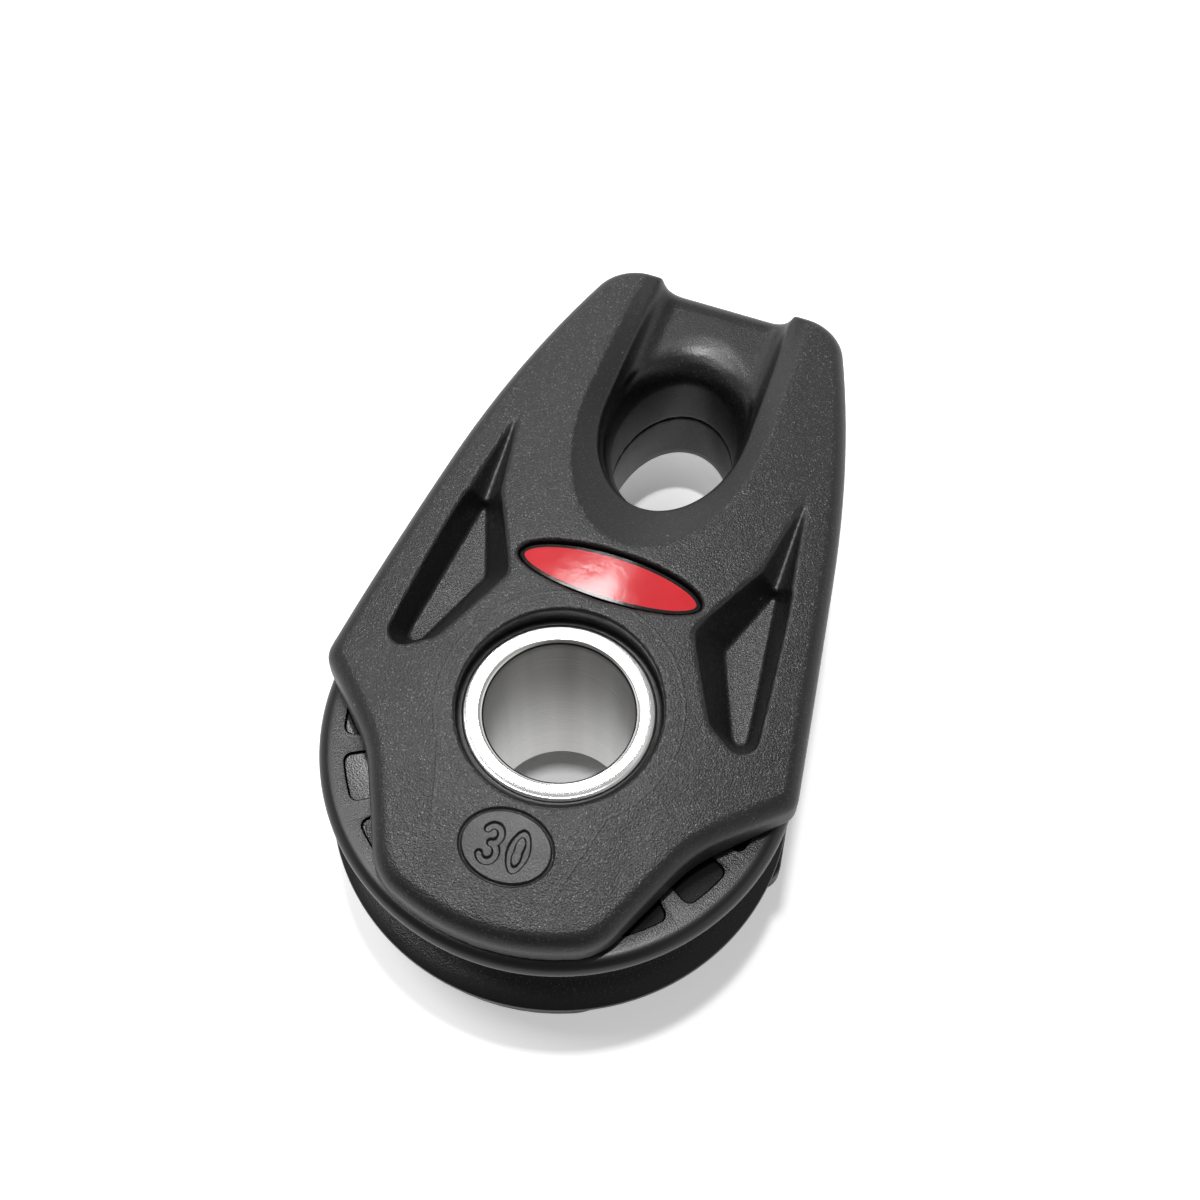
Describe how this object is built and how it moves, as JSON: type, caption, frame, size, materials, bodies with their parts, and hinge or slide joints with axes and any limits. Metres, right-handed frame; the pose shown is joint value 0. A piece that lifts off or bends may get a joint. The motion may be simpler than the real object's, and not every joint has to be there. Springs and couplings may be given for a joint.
{
  "type": "sailing block",
  "caption": "Ball bearing sailing block: a grooved sheave between two cheeks, an open hub tube, and a lashing eye with a rounded saddle at the head.",
  "frame": {"origin": "centre of the hub bore, on the block's middle plane", "axes": "+Z along the hub bore, out of the front cheek; +Y towards the lashing head; +X across the block"},
  "size_m": [0.0304, 0.0495, 0.0192],
  "materials": {
    "cheek_plastic": "grained, fibre filled",
    "sheave_plastic": "satin",
    "steel": "polished ring, brushed bore",
    "race_plastic": "satin",
    "ball_plastic": "polished",
    "badge_red": "glossy"
  },
  "bodies": {
    "block": {"front_cheek": "cheek_plastic", "rear_cheek": "cheek_plastic", "hub_tube": "steel", "inner_race_front": "race_plastic", "inner_race_rear": "race_plastic", "front_badge": "badge_red", "rear_badge": "badge_red"},
    "sheave": {"sheave": "sheave_plastic"},
    "front_balls": {"ball_front_1": "ball_plastic", "ball_front_2": "ball_plastic", "ball_front_3": "ball_plastic", "ball_front_4": "ball_plastic", "ball_front_5": "ball_plastic", "ball_front_6": "ball_plastic", "ball_front_7": "ball_plastic", "ball_front_8": "ball_plastic", "ball_front_9": "ball_plastic", "ball_front_10": "ball_plastic", "ball_front_11": "ball_plastic", "ball_front_12": "ball_plastic", "ball_front_13": "ball_plastic", "ball_front_14": "ball_plastic", "ball_front_15": "ball_plastic"},
    "rear_balls": {"ball_rear_1": "ball_plastic", "ball_rear_2": "ball_plastic", "ball_rear_3": "ball_plastic", "ball_rear_4": "ball_plastic", "ball_rear_5": "ball_plastic", "ball_rear_6": "ball_plastic", "ball_rear_7": "ball_plastic", "ball_rear_8": "ball_plastic", "ball_rear_9": "ball_plastic", "ball_rear_10": "ball_plastic", "ball_rear_11": "ball_plastic", "ball_rear_12": "ball_plastic", "ball_rear_13": "ball_plastic", "ball_rear_14": "ball_plastic", "ball_rear_15": "ball_plastic"}
  },
  "joints": [
    {"name": "sheave_spin", "type": "hinge", "parent": "block", "child": "sheave", "pos_m": [0, 0, 0], "axis": [0, 0, 1], "continuous": true},
    {"name": "front_balls_orbit", "type": "hinge", "parent": "block", "child": "front_balls", "pos_m": [0, 0, 0], "axis": [0, 0, 1], "continuous": true},
    {"name": "rear_balls_orbit", "type": "hinge", "parent": "block", "child": "rear_balls", "pos_m": [0, 0, 0], "axis": [0, 0, 1], "continuous": true}
  ],
  "couplings": [
    {"joint": "front_balls_orbit", "follows": "sheave_spin", "ratio": 0.6005},
    {"joint": "rear_balls_orbit", "follows": "sheave_spin", "ratio": 0.6005}
  ]
}
